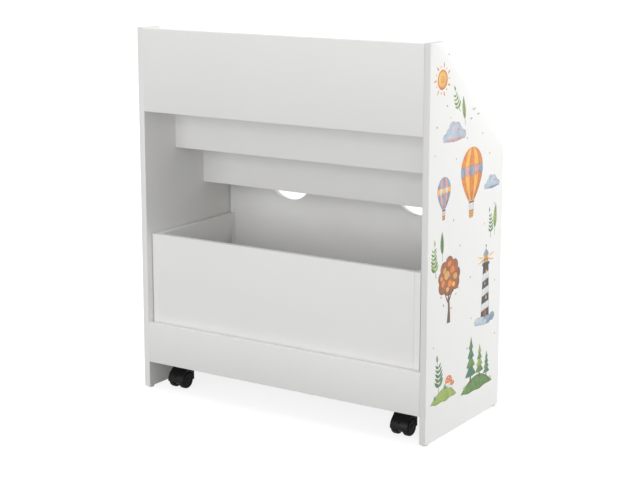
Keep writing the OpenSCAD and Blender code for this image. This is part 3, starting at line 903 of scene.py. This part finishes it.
def stroke(spine, widths, steps):
    """A brush stroke along a smooth line through the spine's points, with the widths spread along it."""
    points = [Vector(p) for p in spine]
    points = [2 * points[0] - points[1]] + points + [2 * points[-1] - points[-2]]
    line = []
    spans = len(points) - 3
    for k in range(steps + 1):
        t = min(spans * k / steps, spans - 1e-6)
        i = int(t)
        t -= i
        a, b, c, d = points[i:i + 4]
        curve = (2 * b) + (c - a) * t + (2 * a - 5 * b + 4 * c - d) * t * t + (3 * b - a - 3 * c + d) * t**3
        line.append(0.5 * curve)
    asides = []
    for k in range(steps + 1):
        ahead = (line[min(k + 1, steps)] - line[max(k - 1, 0)]).normalized()
        share = k / steps * (len(widths) - 1)
        i = min(int(share), len(widths) - 2)
        half = (widths[i] + (widths[i + 1] - widths[i]) * (share - i)) / 2
        asides.append(ahead.orthogonal() * half)
    return ribbon(line, asides)


def blade(base, tip, wide, bend=0.0, steps=16):
    """A pointed leaf from its base to its tip."""
    base = Vector(base)
    along = Vector(tip) - base
    aside = along.orthogonal().normalized()
    line, asides = [], []
    for k in range(steps + 1):
        t = k / steps
        line.append(base + along * t + aside * bend * sin(pi * t))
        half = wide / 2 * sin(pi * t**0.8) ** 0.85 if 0 < k < steps else 0.0
        asides.append(aside * half)
    return ribbon(line, asides)


def mirrored(half):
    """A closed outline, from the points of its right half in order."""
    left = [(-across, up) for across, up in reversed(half)]
    return left[-1:] + half + left[:-1]


def scaled(points, scale):
    return [tuple(value * scale for value in point) for point in points]


class Motif:
    """Slivers of painted film, drawn in millimetres as they are seen: across to the right and up."""

    def __init__(self, name, middle_y, middle_z):
        self.name = name
        self.middle = (middle_y, middle_z)
        self.bm = bmesh.new()
        self.pool = self.bm.verts.layers.float.new("pooling")
        self.paints = []
        self.count = 0

    def ring(self, points, x, tone, shape):
        """Points on one level, which take their part of the edge line and of the shaded side's wash."""
        (line, wash), (middle, reach) = tone, shape
        verts = []
        for across, up in points:
            vert = self.bm.verts.new((x, (self.middle[0] - across) * MM, (self.middle[1] + up) * MM))
            shade = 0.5 + 0.5 * (Vector((across, up)) - Vector(middle)).dot(SHADED_WAY) / reach
            vert[self.pool] = line + wash * min(1.0, max(0.0, shade))
            verts.append(vert)
        return verts

    def paint(self, outline, colour, layer, pool=POOL_WIDTH, shape=None):
        """One closed sliver, with a dark line round its edge and a wash that deepens on its shaded side."""
        if colour not in self.paints:
            self.paints.append(colour)
        self.count += 1
        outline = tidy_outline(outline)
        shape = shape or shape_of(outline)
        top = FILM_FACE - FILM_STEP * (layer + 1) - STACK_STEP * self.count
        within = unfold(outline, inset_outline(outline, pool))
        beside = [tuple(Vector(a).lerp(Vector(b), LINE_SHARE)) for a, b in zip(outline, within)]
        levels = (
            (outline, FILM_FACE + FILM_SINK, EDGE_TONE), (outline, top, EDGE_TONE),
            (beside, top, BESIDE_TONE), (within, top, WITHIN_TONE),
        )
        rings = [self.ring(*level, shape) for level in levels]
        faces = [self.bm.faces.new(rings[3]), self.bm.faces.new(list(reversed(rings[0])))]
        for outer, inner in zip(rings, rings[1:]):
            faces += bridge(self.bm, outer, inner)
        for face in faces:
            face.material_index = self.paints.index(colour)

    def line(self, spine, widths, colour, layer, pool=0.3, steps=24):
        """One brush stroke."""
        self.paint(stroke(spine, widths, steps), colour, layer, pool)

    def finish(self):
        bmesh.ops.recalc_face_normals(self.bm, faces=self.bm.faces)
        piece = link_mesh("print_" + self.name, self.bm, self.paints)
        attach(piece, "bookcase")


def paint_sun():
    sun = Motif("sun", 118, 772)
    for k, turn in enumerate(full_turn(14)):
        far = 37 if k % 2 else 31
        ray = blade(on_oval(0, 0, 25, 25, turn), on_oval(0, 0, far, far, turn + 0.06), 4.2)
        sun.paint(ray, ORANGE if k % 2 else SUNNY, 0, 0.7)
    sun.paint(dab(0, 0, 21, 21, 1.0, 0.03), ORANGE, 0)
    sun.paint(dab(0, 0, 17.5, 17.5, 2.0, 0.03), SUNNY, 1, 6.0)
    sun.paint(dab(-1, 1, 8, 8, 3.0, 0.05), OCHRE, 2, 5.0)
    sun.finish()


# A balloon's envelope: how far it reaches below its round top's middle, in radii, and where its gores meet.
ENVELOPE_DROP = 1.32
GORE_EDGES = (-1.0, -0.64, -0.22, 0.22, 0.64, 1.0)
GORES = tuple(zip(GORE_EDGES, GORE_EDGES[1:]))
SCALLOP_STEPS = 12


def envelope_half_width(up, radius):
    """Half the width of a balloon's envelope at a height above the middle of its round top."""
    if up >= 0:
        return sqrt(max(radius**2 - up**2, 0))
    share = -up / (ENVELOPE_DROP * radius)
    return radius * (1 - 0.74 * share**1.7)


def paint_balloon(name, middle, radius, gores, band, rope_length):
    balloon = Motif(name, *middle)
    foot = -ENVELOPE_DROP * radius
    heights = [radius * sin(radians(90 - 6 * k)) for k in range(16)]
    heights += [foot * k / 14 for k in range(1, 15)]
    whole = ((0, -0.1 * radius), 1.1 * radius)
    for k, (low, high) in enumerate(GORES):
        left = [(low * envelope_half_width(v, radius), v) for v in heights]
        right = [(high * envelope_half_width(v, radius), v) for v in heights]
        balloon.paint(left + right[::-1], gores[k % 2], 0, 0.08 * radius, whole)
    hem_half, top_half = (envelope_half_width(level * radius, radius) for level in (0.08, 0.2))
    for k, (low, high) in enumerate(GORES):
        hem, top = [], []
        for step in range(SCALLOP_STEPS + 1):
            share = low + (high - low) * step / SCALLOP_STEPS
            drop = 0.16 * radius * sin(pi * step / SCALLOP_STEPS)
            hem.append((share * hem_half * 0.995, -0.10 * radius - drop))
            top.append((share * top_half * 0.995, 0.2 * radius))
        balloon.paint(hem + top[::-1], band[k % 2], 1, 0.07 * radius, whole)
    half = envelope_half_width(foot, radius)
    balloon.paint(mirrored([(half, foot - 1), (half * 0.8, foot - 5)]), BARK, 1, 0.8)
    basket = foot - rope_length
    wide, deep = 0.2 * radius, 0.36 * radius
    for side in (-1, -0.35, 0.35, 1):
        balloon.line([(side * half * 0.8, foot - 4), (side * wide, basket)], (1.0, 1.0), BARK, 0, steps=4)
    weave = mirrored([(wide * 1.12, basket), (wide * 0.95, basket - deep * 0.8), (wide * 0.7, basket - deep)])
    balloon.paint(weave, OCHRE, 1, 0.8)
    for row in (0.12, 0.42, 0.72):
        level = basket - deep * row
        balloon.line([(-wide, level), (0, level - 0.8), (wide, level)], (1.1, 1.6, 1.1), RUST, 2, steps=8)
    balloon.finish()


def paint_cloud(name, middle, scale, body, belly):
    cloud = Motif(name, *middle)
    puffs = (
        (0, 0, 22), (-23, -1, 15), (-41, -6, 9.5), (22, -1, 15.5), (41, -5.5, 10), (-8, 10, 17), (12, 8, 16),
    )
    flat = -15 * scale
    outline = puff(scaled(puffs, scale))
    outline = [(a, max(b, flat - 1.5 * scale * cos(a / (16 * scale)))) for a, b in outline]
    cloud.paint(outline, body, 0, 7.0 * scale)
    folds = (
        (((-38, -9), (-14, -12), (16, -12), (40, -9)), 5.5),
        (((-16, 8), (-9, 19), (3, 19)), 3.0),
        (((8, 2), (16, 9), (27, 4)), 3.0),
    )
    for fold, wide in folds:
        widths = [width * scale for width in (0.6, wide, wide, 0.6)]
        cloud.line(scaled(fold, scale), widths, belly, 1, 1.6 * scale)
    cloud.finish()


# The lighthouse's levels above its foot, and its painted bands.
TOWER_HEIGHT = 118
GALLERY_TOP = 124
RAIL_TOP = 131
LANTERN_TOP = 141
TOWER_BANDS = 7
BAND_SLANT = 2.5


def tower_half(up):
    """Half the tower's width at a height above its foot."""
    return 19.5 - 6.5 * up / TOWER_HEIGHT


def paint_lighthouse():
    tower = Motif("lighthouse", -95, 225)
    rocks = (
        (-34, -4, 15, 9, 0.4), (33, -5, 14, 9, 5.0), (-15, -7, 17, 10, 1.9),
        (12, -8, 18, 10, 3.1), (-2, -11, 13, 7, 2.2),
    )
    for k, rock in enumerate(rocks):
        tower.paint(dab(*rock, 0.12), SLATE if k % 2 else MIST, 4, 3.0)
    for k in range(TOWER_BANDS):
        low, high = TOWER_HEIGHT * k / TOWER_BANDS, TOWER_HEIGHT * (k + 1) / TOWER_BANDS
        rise, tip = (BAND_SLANT if k else 0), (BAND_SLANT if k < TOWER_BANDS - 1 else 0)
        band = [
            (-tower_half(low), low - rise), (tower_half(low), low + rise),
            (tower_half(high), high + tip), (-tower_half(high), high - tip),
        ]
        tower.paint(band, CHALK if k % 2 else INK, 2, 3.4, ((0, (low + high) / 2), 20))
    tower.paint(mirrored([(18, TOWER_HEIGHT), (16, GALLERY_TOP)]), INK, 3, 1.0)
    tower.paint(mirrored([(9.5, GALLERY_TOP), (9.5, LANTERN_TOP)]), SUNNY, 2, 1.4)
    bars = [(across, LANTERN_TOP, 1.5) for across in (-9.2, -3.1, 3.1, 9.2)]
    bars += [(across, RAIL_TOP, 1.1) for across in (-15, -8, 8, 15)]
    for across, top, wide in bars:
        tower.line([(across, GALLERY_TOP), (across, top)], (wide, wide), INK, 3, steps=2)
    tower.line([(-16.5, RAIL_TOP), (16.5, RAIL_TOP)], (1.3, 1.3), INK, 4, steps=2)
    roof = mirrored([(13, LANTERN_TOP), (10, 147), (4, 152), (1.2, 155), (0.8, 161)])
    tower.paint(roof, SLATE, 3, 1.2)
    tower.paint(dab(0, 162, 2.4, 2.4, 0.5, 0.0, 16), INK, 3, 0.5)
    tower.paint(mirrored([(6, 2), (6, 13), (4, 17), (0, 19)]), RUST, 3, 1.2)
    for across, up, pane in ((4, 44, SUNNY), (-3, 77, SLATE), (3, 103, SUNNY)):
        tower.paint(dab(across, up, 2.8, 4.4, 0.7, 0.0, 20), pane, 3, 0.8)
    for side in (-1, 1):
        for tilt in (-0.16, 0.16):
            near, far = (side * 14, 133 + 14 * tilt), (side * 40, 133 + 40 * tilt * 1.4)
            tower.paint(blade(near, far, 3.6, 0.0, 10), SUNNY, 0, 0.7)
    tower.finish()


def paint_autumn_tree():
    tree = Motif("autumn_tree", 75, 252)
    tree.line([(0, -2), (1, 25), (-1, 52), (2, 80)], (15, 9, 7, 3), BARK, 1, 1.4)
    tree.line([(0, 40), (-12, 56), (-21, 74)], (5.5, 3.6, 1.2), BARK, 1, 0.7)
    tree.line([(0, 46), (12, 62), (24, 78)], (5.0, 3.4, 1.2), BARK, 1, 0.7)
    puffs = (
        (0, 92, 34), (-29, 82, 17), (-34, 101, 14), (-22, 118, 17),
        (0, 126, 18), (23, 118, 16), (35, 100, 14), (30, 82, 16),
    )
    tree.paint(puff(puffs, 150), RUST, 0, 8.0)
    spots = (
        (-26, 88, 9, ORANGE), (-10, 104, 12, OCHRE), (14, 112, 10, ORANGE), (27, 96, 9, OCHRE),
        (4, 84, 10, ORANGE), (-20, 115, 8, OCHRE), (0, 127, 8, ORANGE), (-34, 100, 6, OCHRE),
        (20, 79, 7, SUNNY), (-6, 72, 7, OCHRE),
    )
    for k, (across, up, radius, colour) in enumerate(spots):
        tree.paint(dab(across, up, radius, radius * 0.86, 0.9 * k, 0.10, 28), colour, 2 + k % 2, 3.2)
    for k, foot in enumerate(((-38, 60), (30, 52), (-22, 38), (44, 66), (14, 30))):
        leaf = blade(foot, on_oval(*foot, 7, 7, 0.9 * k), 3.8, 0.8, 8)
        tree.paint(leaf, (ORANGE, OCHRE, RUST)[k % 3], 0, 0.6)
    tree.finish()


FIR_TIERS = 4
FIR_TEETH = 6


def fir(motif, across, foot, high, wide, colours):
    trunk = [(across, foot - 2), (across, foot + high * 0.3)]
    motif.line(trunk, (wide * 0.14, wide * 0.1), BARK, 1, 0.8, 4)
    for k in range(FIR_TIERS):
        low = foot + high * (0.14 + 0.2 * k)
        peak = foot + high * min(1.0, 0.52 + 0.17 * k)
        half = wide / 2 * (1 - 0.2 * k)
        base = []
        for step in range(FIR_TEETH * 2 + 1):
            share = -1 + step / FIR_TEETH
            sag = 0.028 * high * (step % 2) - 0.03 * high * (1 - share * share)
            base.append((across + half * share, low + sag))
        bend = low + (peak - low) * 0.46
        slope = [(across + half * 0.42, bend), (across, peak), (across - half * 0.42, bend)]
        motif.paint(base + slope, colours[k % 2], 2 + k, 3.0)


def start_hill(name, middle, wide, high, colour, lean):
    """A motif that begins with the low hill its plants stand on."""
    hill = Motif(name, *middle)
    shares = [-1 + k / 16 for k in range(33)]
    outline = []
    for share in shares:
        rise = cos(share * pi / 2) ** 0.9 if abs(share) < 1 else 0.0
        outline.append((wide / 2 * share, high * rise * (1 + lean * share) + 0.8 * sin(5 * share)))
    for share in shares[-2:0:-1]:
        sag = -0.16 * high * cos(share * pi / 2) - 1.2 * sin(9 * share)
        outline.append((wide / 2 * share, sag))
    hill.paint(outline, colour, 0, 5.5)
    return hill


def tuft(motif, across, up, size, colour):
    for lean, tall in ((-0.55, 0.7), (-0.2, 1.0), (0.15, 1.0), (0.5, 0.7)):
        tip = (across + size * lean, up + size * tall)
        bend = copysign(size * 0.08, lean)
        motif.paint(blade((across + lean * 2, up), tip, size * 0.22, bend, 8), colour, 1, 0.5)


def sprig(motif, foot, tip, bend, pairs, leaf_size, colours, layer):
    """A bent stem with leaves in pairs that get smaller towards its tip."""
    foot, tip = Vector(foot), Vector(tip)
    along = tip - foot
    aside = along.orthogonal().normalized()
    ahead = along.normalized()
    middle = foot + along / 2 + aside * bend
    motif.line([foot, middle, tip], (1.8, 1.5, 0.8), colours[1], layer, 0.4)
    for k in range(pairs):
        t = 0.22 + 0.7 * k / pairs
        place = foot * (1 - t) ** 2 + 2 * t * (1 - t) * (middle * 2 - (foot + tip) / 2) + tip * t * t
        size = leaf_size * (1 - 0.45 * k / pairs)
        for side in (-1, 1):
            reach = (ahead * 0.62 + aside * side * 0.78).normalized() * size
            leaf = blade(place, place + reach, size * 0.36, size * 0.06 * side)
            motif.paint(leaf, colours[(k + (side > 0)) % 2], layer + 1, 0.8)
    last = blade(tip - ahead * 2, tip + ahead * leaf_size * 0.6, leaf_size * 0.3)
    motif.paint(last, colours[0], layer + 1, 0.8)


def broad_leaf(motif, foot, tip, wide, colours):
    """A single broad leaf on its stalk, with a darker rib and side veins."""
    foot, tip = Vector(foot), Vector(tip)
    along = tip - foot
    aside = along.orthogonal().normalized()
    base = foot + along * 0.22
    motif.line([foot, foot + along * 0.12, base], (0.9, 1.2, 1.6), colours[1], 0, 0.4, 8)
    motif.paint(blade(base, tip, wide, wide * 0.08), colours[0], 0, 3.4)
    rib = [base, base + along * 0.4 + aside * wide * 0.07, tip - along * 0.05]
    motif.line(rib, (1.3, 1.0, 0.4), colours[1], 1, steps=12)
    for k in range(6):
        start = base + along * (0.06 + 0.1 * k) + aside * wide * 0.05
        for side in (-1, 1):
            end = start + along * 0.1 + aside * side * wide * (0.36 - 0.05 * abs(k - 1.5))
            vein = [start, (start + end) / 2 + along * 0.012, end]
            motif.line(vein, (1.0, 0.8, 0.3), colours[1], 1, steps=6)


def toadstool(motif, across, up, size):
    stem = [(across, up), (across + size * 0.06, up + size * 0.55)]
    motif.line(stem, (size * 0.3, size * 0.22), CHALK, 1, 0.8, 6)
    cap = [on_oval(across, up + size * 0.5, size * 0.52, size * 0.46, pi * k / 16) for k in range(17)]
    for aside in (-0.34, -0.1, 0.14, 0.36):
        cap.append((across + size * aside, up + size * (0.44 - 0.05 * (1 - abs(aside) * 2))))
    motif.paint(cap, ORANGE, 2, 1.2)
    spots = ((-0.24, 0.62, 0.055), (0.02, 0.78, 0.065), (0.26, 0.64, 0.05), (-0.02, 0.56, 0.04))
    for aside, lift, r in spots:
        spot = dab(across + size * aside, up + size * lift, size * r, size * r * 0.9, 1.0, 0.0, 14)
        motif.paint(spot, CHALK, 3, 0.3)


def paint_bottom_row():
    left = start_hill("left_hill", (92, 84), 118, 26, MEADOW, 0.12)
    toadstool(left, 22, 20, 30)
    toadstool(left, 38, 16, 19)
    tuft(left, 6, 22, 13, LEAF)
    tuft(left, -38, 8, 11, PINE)
    sprig(left, (-22, 18), (-30, 92), -5, 5, 24, (LEAF, PINE), 1)
    left.finish()
    right = start_hill("right_hill", (-62, 70), 150, 30, LEAF, -0.1)
    fir(right, -30, 20, 104, 52, (PINE, LEAF))
    fir(right, 12, 24, 74, 40, (LEAF, MEADOW))
    fir(right, 46, 16, 58, 32, (PINE, LEAF))
    tuft(right, -58, 8, 12, MEADOW)
    tuft(right, 66, 2, 10, MEADOW)
    right.finish()


def paint_sprigs():
    high = Motif("high_sprig", 52, 724)
    sprig(high, (14, -26), (-10, 22), 4, 4, 17, (LEAF, MEADOW), 0)
    broad_leaf(high, (38, -58), (26, 6), 14, (MEADOW, PINE))
    high.finish()
    low = Motif("low_sprig", 136, 392)
    sprig(low, (4, -34), (-4, 38), 6, 6, 20, (MEADOW, LEAF), 0)
    broad_leaf(low, (30, -2), (27, 62), 14, (LEAF, PINE))
    low.finish()
    far = Motif("far_sprig", -128, 440)
    broad_leaf(far, (6, -36), (10, 36), 16, (MEADOW, LEAF))
    sprig(far, (-14, -38), (-20, 22), -5, 5, 15, (PINE, LEAF), 0)
    far.finish()


def paint_flecks():
    """Small dots and far-off birds between the larger motifs."""
    flecks = Motif("flecks", 0, 0)
    dots = (
        (-96, 716, 2.6, ROSE), (-80, 690, 2.0, SUNNY), (-138, 676, 2.2, SLATE), (-146, 618, 2.4, SUNNY),
        (-52, 600, 2.0, ROSE), (-4, 638, 2.3, ROSE), (66, 640, 2.0, SLATE), (102, 592, 2.6, SUNNY),
        (-60, 470, 2.2, SLATE), (132, 476, 2.4, ROSE), (84, 438, 2.2, SUNNY), (-28, 410, 2.4, ROSE),
        (-96, 330, 2.0, SLATE), (22, 330, 2.2, ORANGE), (140, 300, 2.4, SUNNY), (30, 236, 2.0, ROSE),
        (-140, 210, 2.4, SUNNY), (14, 172, 2.2, SLATE), (146, 176, 2.2, ROSE), (-92, 822, 2.2, ROSE),
    )
    for k, (across, up, radius, colour) in enumerate(dots):
        flecks.paint(dab(across, up, radius, radius, 0.7 * k, 0.06, 16), colour, 0, 0.6)
    for across, up, size in ((24, 694, 9), (44, 682, 7), (12, 676, 6)):
        left = [(across - size, up + size * 0.35), (across - size * 0.45, up + size * 0.5), (across, up)]
        right = [(across, up), (across + size * 0.5, up + size * 0.52), (across + size, up + size * 0.3)]
        flecks.line(left, (0.4, 1.5, 1.1), INK, 0, steps=10)
        flecks.line(right, (1.1, 1.5, 0.4), INK, 0, steps=10)
    flecks.finish()


paint_sun()
paint_balloon("big_balloon", (-20, 566), 50, (ORANGE, SUNNY), (SLATE, ROSE), 20)
paint_balloon("small_balloon", (104, 540), 29, (SLATE, ROSE), (SUNNY, CHALK), 14)
paint_cloud("big_cloud", (62, 654), 1.0, MIST, ROSE)
paint_cloud("small_cloud", (-116, 524), 0.72, MIST, SLATE)
paint_lighthouse()
paint_autumn_tree()
paint_bottom_row()
paint_sprigs()
paint_flecks()


# Room: a plain pale floor that stays white and keeps the soft shadow, and soft light all round.

WHITE = (1.0, 1.0, 1.0, 1.0)
ROOM_LIGHT = 0.5
BACKDROP_LIGHT = 1.0
FLOOR_RADIUS = 40.0
FLOOR_DROP = 0.2 * MM
FLOOR_COLOUR = (0.3, 0.3, 0.3, 1.0)
# The floor's glow near the bookcase and far away, and the distances between which it changes.
FLOOR_GLOW = (0.83, 0.93)
FLOOR_FADE = (0.7, 2.4)
BOOK_CENTRE = Vector((0.0, 0.0, 0.42))


def split_by_view(tree, output, unseen, seen):
    """Shows "seen" to rays from the camera or by way of gloss or glass, and "unseen" to all the others."""
    path = tree.nodes.new("ShaderNodeLightPath").outputs
    direct = maths(tree, "MAXIMUM", path["Is Camera Ray"], path["Is Glossy Ray"])
    plainly = maths(tree, "MAXIMUM", direct, path["Is Transmission Ray"])
    chosen = add_node(tree, "ShaderNodeMixShader", Fac=plainly)
    tree.links.new(unseen, chosen.inputs[1])
    tree.links.new(seen, chosen.inputs[2])
    tree.links.new(chosen.outputs["Shader"], output.inputs["Surface"])


def make_floor():
    material = bpy.data.materials.new("studio_floor")
    tree, output = new_tree(material, "ShaderNodeOutputMaterial")
    away = add_node(tree, "ShaderNodeVectorMath", operation="LENGTH", Vector=object_place(tree))
    strength = map_span(tree, away.outputs["Value"], FLOOR_FADE, FLOOR_GLOW, interpolation_type="SMOOTHSTEP")
    paper = add_node(tree, "ShaderNodeBsdfDiffuse", Color=FLOOR_COLOUR).outputs["BSDF"]
    glow = add_node(tree, "ShaderNodeEmission", Color=WHITE, Strength=strength).outputs["Emission"]
    lifted = tree.nodes.new("ShaderNodeAddShader")
    tree.links.new(paper, lifted.inputs[0])
    tree.links.new(glow, lifted.inputs[1])
    split_by_view(tree, output, paper, lifted.outputs["Shader"])
    bm = bmesh.new()
    bmesh.ops.create_circle(bm, cap_ends=True, segments=96, radius=FLOOR_RADIUS)
    floor = link_mesh("studio_floor", bm, [material])
    floor.location.z = -FLOOR_DROP


def make_world():
    world = bpy.data.worlds.new("studio_world")
    bpy.context.scene.world = world
    tree, output = new_tree(world, "ShaderNodeOutputWorld")
    room, backdrop = (
        add_node(tree, "ShaderNodeBackground", Color=WHITE, Strength=strength).outputs["Background"]
        for strength in (ROOM_LIGHT, BACKDROP_LIGHT)
    )
    split_by_view(tree, output, room, backdrop)


def soft_lamp(name, place, size, power):
    """A square lamp that faces the bookcase."""
    lamp = bpy.data.lights.new(name, "AREA")
    lamp.shape = "SQUARE"
    lamp.size = size
    lamp.energy = power
    holder = place_object(name, lamp)
    holder.location = place
    holder.rotation_mode = "QUATERNION"
    holder.rotation_quaternion = (BOOK_CENTRE - Vector(place)).to_track_quat("-Z", "Y")


make_floor()
make_world()
soft_lamp("camera_side_lamp", (-1.9, 3.6, 1.3), 2.4, 24.0)
soft_lamp("low_back_lamp", (0.4, 4.0, 0.9), 2.6, 56.0)
soft_lamp("overhead_lamp", (0.0, 0.2, 3.8), 2.4, 34.0)
soft_lamp("printed_side_lamp", (-3.9, -0.6, 0.5), 1.0, 56.0)
soft_lamp("front_lamp", (-1.4, -3.7, 1.5), 2.2, 60.0)
soft_lamp("far_side_lamp", (3.8, -0.8, 1.3), 1.6, 42.0)


# Camera: the photograph is taken from behind and above, and from the printed side.

PHOTO_W = 640
SENSOR_MM = 36.0
CAMERA_PLACE = (-1.861, 2.862, 1.119)
CAMERA_YAW = 33.24
CAMERA_PITCH = 11.16
CAMERA_FOCAL_PX = 1530.3
CAMERA_SHIFT_PX = (7.1, -32.0)
CAMERA_REACH = (0.1, 120.0)


def make_camera():
    data = bpy.data.cameras.new("photo_camera")
    data.sensor_width = SENSOR_MM
    data.lens = CAMERA_FOCAL_PX * SENSOR_MM / PHOTO_W
    data.shift_x, data.shift_y = (shift / PHOTO_W for shift in CAMERA_SHIFT_PX)
    data.clip_start, data.clip_end = CAMERA_REACH
    camera = place_object("photo_camera", data)
    camera.location = CAMERA_PLACE
    camera.rotation_euler = (radians(90 - CAMERA_PITCH), 0.0, radians(180 + CAMERA_YAW))
    bpy.context.scene.camera = camera


make_camera()
bpy.context.scene.view_settings.view_transform = "Standard"
